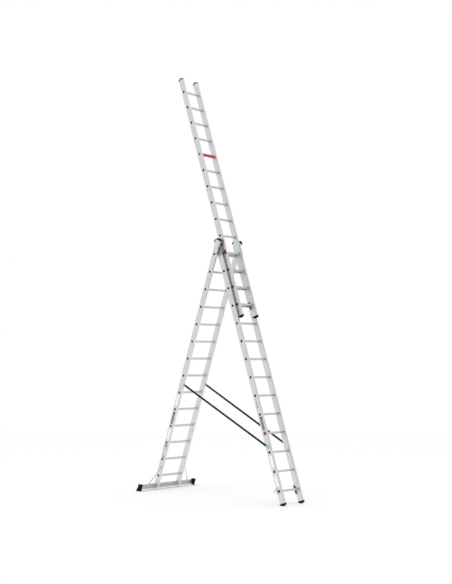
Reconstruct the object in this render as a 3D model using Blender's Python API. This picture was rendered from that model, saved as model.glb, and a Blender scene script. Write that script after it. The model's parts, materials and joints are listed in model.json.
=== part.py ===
"""Three-section combination ladder, standing open with its top section run out.

Every section is modelled upright in its own frame: X across the ladder, Y square to its
climbing plane, Z along its stiles.  The lower and middle frames share the fold axis and are
then leant over; the top frame slides on the middle one.
"""

import math

import bmesh
import bpy
from mathutils import Matrix, Vector

# Driving dimensions, in metres and degrees.
RUNG_PITCH = 0.280
RUNG_COUNT = 14
STILE_DEPTH = 0.096
STILE_THICKNESS = 0.030
STILE_WALL = 0.0015
STILE_CORNER = 0.006
LOWER_WIDTH = 0.492
NEST_SIDE_STEP = 0.0365
NEST_DEPTH_STEP = 0.066
RUNG_SIZE = 0.028
RUNG_CHAMFER = 0.007
RUNG_WALL = 0.0015
RUNG_INSERT = 0.012
STILE_ABOVE_TOP_RUNG = 0.213

LEAN_LOWER = 20.14
LEAN_MIDDLE = 19.0
FOLD_AXIS_HEIGHT = 3.6525
FOLD_AXIS_RISE = 0.025
EXTENDED_PITCHES = 10

GAP = 0.0003
OVERCUT = 0.005
ROD_SIDES = 12
SHAFT_SIDES = 16
HINGE_SHAFT_RADIUS = 0.008
HINGE_SHAFT_HALF = 0.2385

MIDDLE_STILE_BELOW_RUNG = 0.185
TOP_STILE_BELOW_RUNG = 0.190
LOWER_STILE_BELOW_RUNG = 0.188
FOOT_SOLE_RADIUS = 0.075
FOOT_SOLE_WEAR = 0.0008
FOOT_SIDE_LIP = 0.0005
FOOT_ARC_STEPS = 16

BAR_HALF_LENGTH = 0.5560
BAR_TOP = 0.153
BAR_LEDGE = 0.218
BAR_BOTTOM = 0.224
BAR_BACK = -0.044
BAR_FACE = -0.020
BAR_LEDGE_FRONT = 0.034
BAR_WALL = 0.002
CAP_OVERHANG = 0.004
CAP_RISE = 0.013
CAP_TOP_WIDTH = 0.022
CAP_FOOT_WIDTH = 0.034
CAP_WAIST_INSET = 0.003
CAP_WAIST_DROP = 0.048
CAP_FLARE_DROP = 0.075
CAP_HEIGHT_BEFORE_LEVEL_CUT = 0.04
CAP_DEPTH_BEFORE_FLOOR_CUT = 0.20

GUIDE_TOP = 0.160
GUIDE_BOTTOM = 0.020
GUIDE_THICKNESS = 0.0045
GUIDE_CLEARANCE = 0.0008
GUIDE_WRAP = 0.023

LATCH_AXIS_BACK = 0.036
LATCH_ROD_RADIUS = 0.004
LATCH_ROD_PAST_WALL = 0.004
LATCH_THICKNESS = 0.0115
LATCH_CLEARANCE = 0.0008

STRAP_WIDTH = 0.033
STRAP_THICKNESS = 0.002
STRAP_LOWER_DROP = 2.096
STRAP_MIDDLE_DROP = 3.005
STRAP_FACE_CLEARANCE = 0.0018

# Colours: base colour, roughness, metallic.
ALUMINIUM = ((0.72, 0.73, 0.74, 1.0), 0.38, 1.0)
BAR_ALUMINIUM = ((0.62, 0.63, 0.64, 1.0), 0.42, 1.0)
STEEL = ((0.22, 0.23, 0.24, 1.0), 0.40, 1.0)
BLACK_RUBBER = ((0.012, 0.012, 0.013, 1.0), 0.70, 0.0)
GREY_PLASTIC = ((0.06, 0.062, 0.065, 1.0), 0.50, 0.0)
RED_PLASTIC = ((0.36, 0.012, 0.020, 1.0), 0.38, 0.0)
BLACK_WEBBING = ((0.015, 0.015, 0.016, 1.0), 0.85, 0.0)

HALF_DEPTH = STILE_DEPTH / 2
MIDDLE_WIDTH = LOWER_WIDTH - 2 * NEST_SIDE_STEP
TOP_WIDTH = MIDDLE_WIDTH - 2 * NEST_SIDE_STEP
RUNG_SPAN = (RUNG_COUNT - 1) * RUNG_PITCH
FOLD_OFFSET = NEST_DEPTH_STEP / 2
SIDES = (("left", 1), ("right", -1))


def clear_scene():
    for obj in list(bpy.data.objects):
        bpy.data.objects.remove(obj, do_unlink=True)


def material(name, look):
    colour, roughness, metallic = look
    mat = bpy.data.materials.new(name)
    mat.use_nodes = True
    shader = mat.node_tree.nodes["Principled BSDF"]
    shader.inputs["Base Color"].default_value = colour
    shader.inputs["Roughness"].default_value = roughness
    shader.inputs["Metallic"].default_value = metallic
    return mat


def add_object(name, mesh, parent, look, location=(0, 0, 0)):
    obj = bpy.data.objects.new(name, mesh)
    bpy.context.collection.objects.link(obj)
    obj.parent = parent
    obj.location = location
    if look is not None:
        mesh.materials.append(material(name, look))
    return obj


def add_frame(name, location, lean_degrees, parent=None):
    """An empty whose X axis is the joint's axis and whose Z axis runs up the stiles."""
    empty = bpy.data.objects.new(name, None)
    bpy.context.collection.objects.link(empty)
    empty.parent = parent
    empty.location = location
    empty.rotation_euler = (math.radians(lean_degrees), 0, 0)
    return empty


def mesh_from(name, bm):
    bmesh.ops.recalc_face_normals(bm, faces=bm.faces)
    mesh = bpy.data.meshes.new(name)
    bm.to_mesh(mesh)
    bm.free()
    return mesh


def smooth(obj, degrees=35):
    obj.data.shade_smooth()
    obj.data.set_sharp_from_angle(angle=math.radians(degrees))


def place(axis, along, first, second):
    """A point with its coordinate on one axis, and the other two in X, Y, Z order."""
    if axis == "X":
        return Vector((along, first, second))
    if axis == "Y":
        return Vector((first, along, second))
    return Vector((first, second, along))


def add_prism(bm, outline, axis, start, end):
    """Adds a closed prism of a flat outline, drawn along one axis from start to end."""
    low = [bm.verts.new(place(axis, start, a, b)) for a, b in outline]
    high = [bm.verts.new(place(axis, end, a, b)) for a, b in outline]
    bm.faces.new(low)
    bm.faces.new(high)
    count = len(outline)
    for i in range(count):
        j = (i + 1) % count
        bm.faces.new((low[i], low[j], high[j], high[i]))


def add_tube(bm, outer, inner, axis, start, end):
    """Adds an open-ended tube between two outlines that have the same number of points."""
    rings = []
    for outline, along in ((outer, start), (outer, end), (inner, end), (inner, start)):
        rings.append([bm.verts.new(place(axis, along, a, b)) for a, b in outline])
    count = len(outer)
    for k in range(4):
        one, two = rings[k], rings[(k + 1) % 4]
        for i in range(count):
            j = (i + 1) % count
            bm.faces.new((one[i], one[j], two[j], two[i]))


def rounded_rectangle(centre, size, radius, steps=2):
    """Corner arcs of a rectangle, each from steps chords."""
    points = []
    for quarter, (sx, sy) in enumerate(((1, 1), (-1, 1), (-1, -1), (1, -1))):
        cx = centre[0] + sx * (size[0] / 2 - radius)
        cy = centre[1] + sy * (size[1] / 2 - radius)
        for step in range(steps + 1):
            angle = math.pi / 2 * (quarter + step / steps)
            points.append((cx + radius * math.cos(angle), cy + radius * math.sin(angle)))
    return points


def regular_outline(centre, radius, count):
    return [
        (
            centre[0] + radius * math.cos(2 * math.pi * i / count),
            centre[1] + radius * math.sin(2 * math.pi * i / count),
        )
        for i in range(count)
    ]


def rung_outline(centre, size, chamfer):
    return rounded_rectangle(centre, (size, size), chamfer, steps=1)


def boolean(obj, other, operation):
    """Applies an exact Boolean to the mesh of obj and deletes the other object."""
    modifier = obj.modifiers.new(operation.lower(), "BOOLEAN")
    modifier.operation = operation
    modifier.solver = "EXACT"
    modifier.object = other
    other.hide_render = True
    other.display_type = "WIRE"
    bpy.context.view_layer.update()
    graph = bpy.context.evaluated_depsgraph_get()
    result = bpy.data.meshes.new_from_object(obj.evaluated_get(graph))
    obj.modifiers.clear()
    obj.data = result
    bpy.data.objects.remove(other, do_unlink=True)


def cutter_object(bm, parent):
    return add_object("cutter", mesh_from("cutter", bm), parent, None)


def rung_height(section, number):
    """Height of a rung along the stiles, numbered from 1 at the bottom."""
    return section["first_rung"] + (number - 1) * RUNG_PITCH


def inner_face(section):
    return section["width"] / 2 - STILE_THICKNESS


def make_stile(section, side_name, side):
    """Hollow extruded stile with rung holes in its inner wall."""
    name = f"{section['name']}_stile_{side_name}"
    centre = (side * (section["width"] / 2 - STILE_THICKNESS / 2), section["plane"])
    outer = rounded_rectangle(centre, (STILE_THICKNESS, STILE_DEPTH), STILE_CORNER)
    inner_size = (STILE_THICKNESS - 2 * STILE_WALL, STILE_DEPTH - 2 * STILE_WALL)
    inner = rounded_rectangle(centre, inner_size, STILE_CORNER - STILE_WALL)
    bottom = section["first_rung"] - section["stile_below"]
    top = rung_height(section, RUNG_COUNT) + STILE_ABOVE_TOP_RUNG
    bm = bmesh.new()
    add_tube(bm, outer, inner, "Z", bottom, top)
    stile = add_object(name, mesh_from(name, bm), section["frame"], ALUMINIUM)

    cutter = bmesh.new()
    hole_inside = side * (inner_face(section) - OVERCUT)
    hole_outside = side * (inner_face(section) + STILE_THICKNESS / 2)
    for number in range(1, RUNG_COUNT + 1):
        hole_centre = (section["plane"], rung_height(section, number))
        hole = rung_outline(hole_centre, RUNG_SIZE + 2 * GAP, RUNG_CHAMFER)
        add_prism(cutter, hole, "X", hole_inside, hole_outside)
    if section["latch"]:
        rod_centre = (section["plane"] - LATCH_AXIS_BACK, section["first_rung"])
        rod_hole = regular_outline(rod_centre, LATCH_ROD_RADIUS + GAP, ROD_SIDES)
        add_prism(cutter, rod_hole, "X", hole_inside, hole_outside)
    if section["shaft_reach"]:
        shaft_hole = regular_outline((0, 0), HINGE_SHAFT_RADIUS + GAP, SHAFT_SIDES)
        shaft_outside = side * (inner_face(section) + section["shaft_reach"])
        add_prism(cutter, shaft_hole, "X", hole_inside, shaft_outside)
    boolean(stile, cutter_object(cutter, section["frame"]), "DIFFERENCE")
    return stile


def make_rung(section, number):
    """Hollow rung whose ends stand inside both stiles."""
    name = f"{section['name']}_rung_{number:02d}"
    half = inner_face(section) + RUNG_INSERT
    outer = rung_outline((0, 0), RUNG_SIZE, RUNG_CHAMFER)
    inner = rung_outline((0, 0), RUNG_SIZE - 2 * RUNG_WALL, RUNG_CHAMFER - RUNG_WALL / 2)
    bm = bmesh.new()
    add_tube(bm, outer, inner, "X", -half, half)
    location = (0, section["plane"], rung_height(section, number))
    return add_object(name, mesh_from(name, bm), section["frame"], ALUMINIUM, location)


def make_section(name, frame, width, plane, top_rung, stile_below, latch, shaft_reach):
    """Stiles and rungs of one section; shaft_reach is how far the hinge's hole goes into a stile."""
    section = {
        "name": name,
        "frame": frame,
        "width": width,
        "plane": plane,
        "first_rung": top_rung - RUNG_SPAN,
        "stile_below": stile_below,
        "latch": latch,
        "shaft_reach": shaft_reach,
    }
    section["stiles"] = [make_stile(section, side_name, side) for side_name, side in SIDES]
    for number in range(1, RUNG_COUNT + 1):
        make_rung(section, number)
    return section


def floor_plane(frame):
    """A point on the floor and the floor's upward direction, in a frame's own axes."""
    bpy.context.view_layer.update()
    to_local = frame.matrix_world.inverted()
    point = to_local @ Vector((0, 0, 0))
    upward = (to_local.to_3x3() @ Vector((0, 0, 1))).normalized()
    return point, upward


def cut_away(bm, point, normal):
    """Cuts away what is on the normal's side of a plane and closes the cut with one flat face."""
    geometry = bm.verts[:] + bm.edges[:] + bm.faces[:]
    bmesh.ops.bisect_plane(bm, geom=geometry, plane_co=point, plane_no=normal, clear_outer=True)
    open_edges = [edge for edge in bm.edges if edge.is_boundary]
    bmesh.ops.contextual_create(bm, geom=open_edges)


def cut_at_floor(bm, frame):
    """Cuts away what is under the floor."""
    point, upward = floor_plane(frame)
    cut_away(bm, point, -upward)


def make_foot(section, side_name, side):
    """Rubber foot with a curved sole, worn flat where it stands."""
    name = f"{section['name']}_foot_{side_name}"
    point, upward = floor_plane(section["frame"])
    stile_end = section["first_rung"] - section["stile_below"]
    # The sole's centre is one radius above the floor, less the wear, over the middle of the stile.
    floor_height = point.z - (section["plane"] - point.y) * upward.y / upward.z
    centre_z = floor_height + (FOOT_SOLE_RADIUS - FOOT_SOLE_WEAR) / upward.z
    half = HALF_DEPTH + FOOT_SIDE_LIP
    sweep = math.asin(half / FOOT_SOLE_RADIUS)
    outline = [(section["plane"] + half, stile_end - GAP), (section["plane"] - half, stile_end - GAP)]
    for step in range(FOOT_ARC_STEPS + 1):
        angle = -sweep + 2 * sweep * step / FOOT_ARC_STEPS
        y = section["plane"] + FOOT_SOLE_RADIUS * math.sin(angle)
        outline.append((y, centre_z - FOOT_SOLE_RADIUS * math.cos(angle)))
    bm = bmesh.new()
    inside = side * (inner_face(section) - FOOT_SIDE_LIP)
    outside = side * (section["width"] / 2 + FOOT_SIDE_LIP)
    add_prism(bm, outline, "X", inside, outside)
    cut_at_floor(bm, section["frame"])
    foot = add_object(name, mesh_from(name, bm), section["frame"], BLACK_RUBBER)
    smooth(foot)
    return foot


def make_stabiliser_bar(lower):
    """Hollow box with a ledge in front, across the foot of the lower section."""
    plane = lower["plane"]
    first = lower["first_rung"]
    outline = [
        (plane + BAR_BACK, first - BAR_TOP),
        (plane + BAR_FACE, first - BAR_TOP),
        (plane + BAR_FACE, first - BAR_LEDGE),
        (plane + BAR_LEDGE_FRONT, first - BAR_LEDGE),
        (plane + BAR_LEDGE_FRONT, first - BAR_BOTTOM),
        (plane + BAR_BACK, first - BAR_BOTTOM),
    ]
    bm = bmesh.new()
    add_prism(bm, outline, "X", -BAR_HALF_LENGTH, BAR_HALF_LENGTH)
    bar = add_object("stabiliser_bar", mesh_from("stabiliser_bar", bm), lower["frame"], BAR_ALUMINIUM)
    hollow = bmesh.new()
    inner = [
        (plane + BAR_BACK + BAR_WALL, first - BAR_TOP - BAR_WALL),
        (plane + BAR_FACE - BAR_WALL, first - BAR_TOP - BAR_WALL),
        (plane + BAR_FACE - BAR_WALL, first - BAR_BOTTOM + BAR_WALL),
        (plane + BAR_BACK + BAR_WALL, first - BAR_BOTTOM + BAR_WALL),
    ]
    add_prism(hollow, inner, "X", -BAR_HALF_LENGTH - OVERCUT, BAR_HALF_LENGTH + OVERCUT)
    boolean(bar, cutter_object(hollow, lower["frame"]), "DIFFERENCE")
    return bar


def notch_lower_stiles(lower):
    """Cuts the back of each lower stile away where the stabiliser bar passes."""
    back = lower["plane"] - STILE_DEPTH
    front = lower["plane"] + BAR_FACE + GAP
    top = lower["first_rung"] - BAR_TOP + GAP
    bottom = lower["first_rung"] - BAR_BOTTOM
    outline = [(back, top), (front, top), (front, bottom), (back, bottom)]
    for stile in lower["stiles"]:
        notch = bmesh.new()
        add_prism(notch, outline, "X", -LOWER_WIDTH, LOWER_WIDTH)
        boolean(stile, cutter_object(notch, lower["frame"]), "DIFFERENCE")


def make_stabiliser_cap(lower, side_name, side):
    """Boot-shaped rubber end of the stabiliser bar: flat on the floor and level on top."""
    name = f"stabiliser_cap_{side_name}"
    inside = BAR_HALF_LENGTH + GAP
    top = lower["first_rung"] - BAR_TOP + CAP_RISE
    high = top + CAP_HEIGHT_BEFORE_LEVEL_CUT
    deep = top - CAP_DEPTH_BEFORE_FLOOR_CUT
    profile = [
        (inside, high),
        (inside + CAP_TOP_WIDTH, high),
        (inside + CAP_TOP_WIDTH, top),
        (inside + CAP_TOP_WIDTH - CAP_WAIST_INSET, top - CAP_WAIST_DROP),
        (inside + CAP_FOOT_WIDTH, top - CAP_FLARE_DROP),
        (inside + CAP_FOOT_WIDTH, deep),
        (inside, deep),
    ]
    outline = [(side * x, z) for x, z in profile]
    bm = bmesh.new()
    back = lower["plane"] + BAR_BACK - CAP_OVERHANG
    front = lower["plane"] + BAR_LEDGE_FRONT + CAP_OVERHANG
    add_prism(bm, outline, "Y", back, front)
    upward = floor_plane(lower["frame"])[1]
    cut_away(bm, Vector((0, back, top)), upward)
    cut_at_floor(bm, lower["frame"])
    return add_object(name, mesh_from(name, bm), lower["frame"], BLACK_RUBBER)


def make_guide(middle, top, side_name, side):
    """Bracket on the head of a middle stile that holds the top section's stile."""
    name = f"top_guide_{side_name}"
    base_front = middle["plane"] + HALF_DEPTH + GAP
    slide_face = top["width"] / 2 + GUIDE_CLEARANCE
    wrap_back = top["plane"] + HALF_DEPTH + GUIDE_CLEARANCE
    wrap_front = wrap_back + GUIDE_THICKNESS
    profile = [
        (middle["width"] / 2, base_front),
        (middle["width"] / 2, base_front + GUIDE_THICKNESS),
        (slide_face + GUIDE_THICKNESS, base_front + GUIDE_THICKNESS),
        (slide_face + GUIDE_THICKNESS, wrap_front),
        (slide_face - GUIDE_WRAP, wrap_front),
        (slide_face - GUIDE_WRAP, wrap_back),
        (slide_face, wrap_back),
        (slide_face, base_front),
    ]
    outline = [(side * x, y) for x, y in profile]
    head = rung_height(middle, RUNG_COUNT)
    bm = bmesh.new()
    add_prism(bm, outline, "Z", head + GUIDE_BOTTOM, head + GUIDE_TOP)
    return add_object(name, mesh_from(name, bm), middle["frame"], GREY_PLASTIC)


def make_latch(section):
    """Two sprung levers on one rod behind the bottom rung, with its origin on the rod's axis."""
    name = f"{section['name']}_latch"
    # Side view of a lever round the rod: a straight thumb tab above, a hooked nose below.
    lever = [
        (-0.004, 0.062),
        (0.009, 0.058),
        (0.011, 0.030),
        (0.010, 0.000),
        (0.011, -0.030),
        (0.021, -0.058),
        (0.012, -0.066),
        (-0.006, -0.036),
        (-0.010, -0.004),
        (-0.009, 0.036),
    ]
    outside = inner_face(section) - LATCH_CLEARANCE
    inside = outside - LATCH_THICKNESS
    rod = regular_outline((0, 0), LATCH_ROD_RADIUS, ROD_SIDES)
    rod_half = inner_face(section) + STILE_WALL + LATCH_ROD_PAST_WALL
    location = (0, section["plane"] - LATCH_AXIS_BACK, section["first_rung"])

    bm = bmesh.new()
    add_prism(bm, rod, "X", -rod_half, rod_half)
    latch = add_object(name, mesh_from(name, bm), section["frame"], RED_PLASTIC, location)
    for side_name, side in SIDES:
        plate = bmesh.new()
        add_prism(plate, lever, "X", side * inside, side * outside)
        plate_object = cutter_object(plate, section["frame"])
        plate_object.location = location
        boolean(latch, plate_object, "UNION")
    return latch


def make_hinge_shaft(middle):
    """Steel shaft on the fold axis, through the heads of the middle and lower stiles."""
    bm = bmesh.new()
    outline = regular_outline((0, 0), HINGE_SHAFT_RADIUS, SHAFT_SIDES)
    add_prism(bm, outline, "X", -HINGE_SHAFT_HALF, HINGE_SHAFT_HALF)
    shaft = add_object("hinge_shaft", mesh_from("hinge_shaft", bm), middle["frame"], STEEL)
    smooth(shaft)
    return shaft


def make_strap(lower, middle, side_name, side):
    """Taut webbing from the inner face of a lower stile to the outer side of a middle one."""
    name = f"spreader_strap_{side_name}"
    bpy.context.view_layer.update()
    lower_point = lower["frame"].matrix_world @ Vector((
        side * (lower["width"] / 2 - STILE_THICKNESS / 2),
        lower["plane"] + HALF_DEPTH + STRAP_FACE_CLEARANCE,
        rung_height(lower, RUNG_COUNT) - STRAP_LOWER_DROP,
    ))
    middle_point = middle["frame"].matrix_world @ Vector((
        side * (middle["width"] / 2 + STRAP_FACE_CLEARANCE),
        middle["plane"],
        rung_height(middle, RUNG_COUNT) - STRAP_MIDDLE_DROP,
    ))
    run = middle_point - lower_point
    length = run.length
    along = run.normalized()
    across = Vector((1, 0, 0))
    edge = along.cross(across).normalized()
    across = edge.cross(along)
    turn = Matrix((across, edge, along)).transposed().to_4x4()
    outline = rounded_rectangle((0, 0), (STRAP_THICKNESS, STRAP_WIDTH), STRAP_THICKNESS / 4, steps=1)
    bm = bmesh.new()
    add_prism(bm, outline, "Z", 0, length)
    bm.transform(turn)
    return add_object(name, mesh_from(name, bm), None, BLACK_WEBBING, lower_point)


def centre_on_origin():
    """Moves the ladder along Y until its bounding box is centred on the origin."""
    bpy.context.view_layer.update()
    meshes = [obj for obj in bpy.data.objects if obj.type == "MESH"]
    ys = [(obj.matrix_world @ v.co).y for obj in meshes for v in obj.data.vertices]
    shift = -(min(ys) + max(ys)) / 2
    for obj in bpy.data.objects:
        if obj.parent is None:
            obj.location.y += shift
    bpy.context.view_layer.update()


def build():
    clear_scene()
    fold_axis = (0, 0, FOLD_AXIS_HEIGHT)
    lower_frame = add_frame("lower_frame", fold_axis, -LEAN_LOWER)
    middle_frame = add_frame("middle_frame", fold_axis, LEAN_MIDDLE)
    top_slide = add_frame("top_frame", (0, FOLD_OFFSET + NEST_DEPTH_STEP, 0), 0, middle_frame)

    lower = make_section(
        "lower", lower_frame, LOWER_WIDTH, -FOLD_OFFSET, -FOLD_AXIS_RISE,
        LOWER_STILE_BELOW_RUNG, latch=False, shaft_reach=STILE_THICKNESS / 2,
    )
    middle = make_section(
        "middle", middle_frame, MIDDLE_WIDTH, FOLD_OFFSET, -FOLD_AXIS_RISE,
        MIDDLE_STILE_BELOW_RUNG, latch=True, shaft_reach=STILE_THICKNESS + OVERCUT,
    )
    top = make_section(
        "top", top_slide, TOP_WIDTH, 0, -FOLD_AXIS_RISE + EXTENDED_PITCHES * RUNG_PITCH,
        TOP_STILE_BELOW_RUNG, latch=True, shaft_reach=0,
    )
    make_hinge_shaft(middle)
    make_stabiliser_bar(lower)
    notch_lower_stiles(lower)
    make_latch(middle)
    make_latch(top)
    guide_target = dict(top, plane=FOLD_OFFSET + NEST_DEPTH_STEP)
    for side_name, side in SIDES:
        make_stabiliser_cap(lower, side_name, side)
        make_foot(middle, side_name, side)
        make_guide(middle, guide_target, side_name, side)
        make_strap(lower, middle, side_name, side)
    centre_on_origin()


build()
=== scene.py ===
"""Looks of a three-section combination ladder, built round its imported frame.

Each ladder section has its own axes, kept in a Section: X across the ladder, Y square to its
climbing plane, Z up its stiles, and the origin in the middle of its bottom rung.  Pieces are
modelled in those axes, in metres, and ride on the section's body.
"""

import json
import math

import bmesh
import bpy
from mathutils import Matrix, Vector


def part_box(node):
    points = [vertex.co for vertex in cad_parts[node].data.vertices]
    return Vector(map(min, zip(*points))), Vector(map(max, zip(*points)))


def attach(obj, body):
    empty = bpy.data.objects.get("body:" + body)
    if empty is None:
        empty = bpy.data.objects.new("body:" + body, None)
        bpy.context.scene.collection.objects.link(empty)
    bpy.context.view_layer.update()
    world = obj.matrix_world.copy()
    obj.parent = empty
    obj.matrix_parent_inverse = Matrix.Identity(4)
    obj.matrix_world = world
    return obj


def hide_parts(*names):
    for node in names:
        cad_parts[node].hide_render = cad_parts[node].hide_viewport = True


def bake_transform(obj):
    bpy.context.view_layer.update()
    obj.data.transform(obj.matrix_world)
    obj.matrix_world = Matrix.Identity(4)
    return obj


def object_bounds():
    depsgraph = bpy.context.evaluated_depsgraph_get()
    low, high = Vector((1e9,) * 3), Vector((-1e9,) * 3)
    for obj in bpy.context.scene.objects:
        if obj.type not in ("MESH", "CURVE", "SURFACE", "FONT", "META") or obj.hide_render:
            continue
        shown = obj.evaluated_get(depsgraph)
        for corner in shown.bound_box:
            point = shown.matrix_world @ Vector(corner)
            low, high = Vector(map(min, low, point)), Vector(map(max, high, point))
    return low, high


RUNG_COUNT = 14
RED_RUNG = 10
SIDES = (("left", 1), ("right", -1))

FLOOR_GAP = 0.0001
SHORTEST_EDGE = 0.0006
WASHER_THICKNESS = 0.0012
BOLT_HEAD_HEIGHT = 0.0045

STILE_WALL = 0.0015
STILE_CORNER = 0.006
STILE_GROOVE_WIDTH = 0.0024
STILE_GROOVE_DEPTH = 0.0006
STILE_GROOVES = (-0.030, 0.030)

RUNG_HALF = 0.014
RUNG_CORNER = 0.0045
RUNG_RIBS = 5
RUNG_RIB_HEIGHT = 0.0007
RUNG_COLLAR = 0.0022
RUNG_COLLAR_LENGTH = 0.0065
RUNG_COLLAR_SLOPE = 0.0025
RUNG_LET_IN = 0.001

MISSING_PLUGS = {"left": (4,), "right": ()}
PLUG_SIZE = 0.0340
PLUG_CORNER = 0.010
PLUG_RISE = 0.0026
PLUG_EDGE = ((0.0, 0.0), (0.45, 0.0), (0.8, 0.0008), (0.95, 0.0020), (1.0, 0.0050))

HEAD_RISE = 0.012
CAP_RISE = 0.038
CAP_ENDS = {"lower": (0.012, 0.012), "middle": (0.022, 0.004), "top": (0.022, 0.004)}
CAP_LIP = 0.0012
CAP_SKIRT = 0.003
CAP_STEPS = 16
NOTCH_CLEARANCE = 0.0003
FOOT_RISE = 0.023
FOOT_LIP = 0.0008
FOOT_TOE = 0.008
FOOT_SKIRT = 0.012
FOOT_GROOVE = 0.0016
FOOT_STEPS = 36

BAR_FACE = -0.020
BAR_WALL = 0.002
BAR_LEDGE = 0.006
LEDGE_LIP = 0.0085
LEDGE_RAIL = 0.003
BAR_CORNER = 0.004
SCREW_INSET = 0.020
SMALL_BOLT = 0.0055
BOOT_FLARE = 0.012
BOOT_RISE = 0.013
BOOT_SIDE = (
    (0.012, 0.018), (0.015, 0.032), (0.015, 0.048), (0.012, 0.061), (0.003, 0.072), (0.0, 0.078),
)
BRACE_WIDTH = 0.018
BRACE_THICKNESS = 0.003
BRACE_START = Vector((0.0050, 0.022, 0.150))
BRACE_END = Vector((0.408, 0.011, 0.036))
BRACE_LUG = 0.010
LUG_THICKNESS = 0.003

GUIDE_TOP = 0.160
GUIDE_BOTTOM = 0.055
GUIDE_WALL = 0.0045
GUIDE_HEAD = 0.046
GUIDE_LIP = 0.012
GUIDE_STRIP = 0.0022
GUIDE_GAP = 0.0005
GUIDE_STRIP_BOTTOM = 0.020
GUIDE_STOP = (0.005, 0.014, 0.018)
CATCH_CENTRE = (0.091, -0.002)
CATCH_SIZE = (0.030, 0.076)
CATCH_CORNER = 0.012
CATCH_STEPS = ((0.0, 0.0), (0.009, 0.0), (0.013, 0.004))
HINGE_PLATE = 0.003
HINGE_DEPTH = (-0.010, 0.044)
HINGE_SPAN = (-0.030, 0.096)
HINGE_CORNER = 0.016
HINGE_RIVETS = ((0.034, 0.083, 0.0070, 0.0010, 0.0018), (0.004, 0.064, 0.0050, 0.0008, 0.0016))
HINGE_BOSS = 0.017
HINGE_NUT = 0.011
# Painted shade: a thin dark strip on each top stile's outer face stands for the shade of the gap beside
# the middle stile.
PAINTED_SHADE_STRIP = 0.0004
PAINTED_SHADE_STRIP_WIDTH = (-0.027, -0.004)
PAINTED_SHADE_STRIP_TOP = 0.84

LATCH_AXIS = -0.036
LATCH_ROD_RADIUS = 0.004
LATCH_GAP = 0.0065
LATCH_THICKNESS = 0.0095
LATCH_HUB = 0.0088
LATCH_HUB_LENGTH = 0.009
# Y and Z ranges of the pale plates that paint a highlight on the red latch levers.
LATCH_HIGHLIGHT_PLATE = ((LATCH_AXIS - 0.0095, LATCH_AXIS + 0.0118), (-0.016, 0.016))
LATCH_COILS = 5
LATCH_COIL = 0.0062
LATCH_COIL_PITCH = 0.0024
LATCH_COIL_WIRE = 0.0017
LATCH_LEVER = (
    (-0.014, 0.062), (-0.006, 0.0625), (-0.001, 0.058), (0.008, 0.030), (0.0102, 0.012),
    (0.010, 0.000), (0.008, -0.030), (0.006, -0.044), (0.011, -0.058), (0.009, -0.064),
    (0.002, -0.066), (-0.009, -0.052), (-0.012, -0.036), (-0.0095, -0.016), (-0.010, -0.004),
    (-0.015, 0.036),
)
HOOK_THICKNESS = 0.0042
HOOK_RIVETS = ((-0.028, 0.036), (-0.031, -0.021))
HOOK_OUTLINE = (
    (-0.018, 0.046), (-0.030, 0.050), (-0.046, 0.044), (-0.060, 0.036), (-0.080, 0.033),
    (-0.0885, 0.027), (-0.0905, 0.016), (-0.0905, -0.022), (-0.088, -0.027), (-0.0852, -0.024),
    (-0.0840, -0.018), (-0.0840, 0.0140), (-0.0800, 0.0182), (-0.0520, 0.0182), (-0.0480, 0.0140),
    (-0.0470, -0.020), (-0.040, -0.030), (-0.028, -0.031), (-0.020, -0.025),
)

STRAP_WIDTH = 0.033
STRAP_THICKNESS = 0.002
STRAP_STEPS = 72

LABEL_GAP = 0.00005
LABEL_THICKNESS = 0.00025

FLOOR_GLOW = 0.115
FLOOR_FADE = (5.0, 14.0)

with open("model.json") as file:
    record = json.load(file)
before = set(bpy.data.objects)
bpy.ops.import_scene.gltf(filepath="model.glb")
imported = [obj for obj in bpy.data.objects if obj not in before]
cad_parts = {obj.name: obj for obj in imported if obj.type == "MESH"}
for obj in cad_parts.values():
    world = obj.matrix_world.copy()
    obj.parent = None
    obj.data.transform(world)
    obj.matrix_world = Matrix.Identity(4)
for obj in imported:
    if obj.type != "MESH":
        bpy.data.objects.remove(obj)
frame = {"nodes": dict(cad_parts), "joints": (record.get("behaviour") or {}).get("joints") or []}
cad_low, cad_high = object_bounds()


# --- Sections ---


def node_box(name, to_local):
    """Lowest and highest corner of a frame node, measured along a section's own axes."""
    points = [to_local @ v.co for v in frame["nodes"][name].data.vertices]
    low = Vector([min(p[i] for p in points) for i in range(3)])
    high = Vector([max(p[i] for p in points) for i in range(3)])
    return low, high


class Section:
    """One ladder section's body, axes and sizes, all read from the frame."""

    def __init__(self, name):
        self.name = name
        bottom = sum(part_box(f"{name}_rung_01"), Vector()) / 2
        top = sum(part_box(f"{name}_rung_{RUNG_COUNT}"), Vector()) / 2
        up = (top - bottom).normalized()
        across = Vector((1, 0, 0))
        turn = Matrix((across, up.cross(across), up)).transposed().to_4x4()
        self.matrix = Matrix.Translation(bottom) @ turn
        self.to_local = self.matrix.inverted()
        self.pitch = (top - bottom).length / (RUNG_COUNT - 1)
        low, high = self.box(f"{name}_stile_left")
        self.inner, self.outer = low.x, high.x
        self.half_depth = (high.y - low.y) / 2
        self.bottom, self.top = low.z, high.z

    def box(self, node):
        return node_box(node, self.to_local)

    def rung_z(self, number):
        return (number - 1) * self.pitch


def fold_axis():
    joint = next(j for j in frame["joints"] if j["name"] == "fold")
    return Vector(joint["pos_m"])


lower = Section("lower")
middle = Section("middle")
top = Section("top")
SECTIONS = (lower, middle, top)


# --- Shapes ---


def at(axis, along, first, second):
    """A point with one coordinate along an axis, and the other two in X, Y, Z order."""
    point = [first, second]
    point.insert("XYZ".index(axis), along)
    return Vector(point)


def bridge(bm, one, two):
    count = len(one)
    for i in range(count):
        j = (i + 1) % count
        bm.faces.new((one[i], one[j], two[j], two[i]))


def close_rings(bm, rings):
    """Faces of a closed solid over rings of vertices, with a flat face at each end."""
    bm.faces.new(rings[0])
    bm.faces.new(rings[-1])
    for one, two in zip(rings, rings[1:]):
        bridge(bm, one, two)


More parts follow.
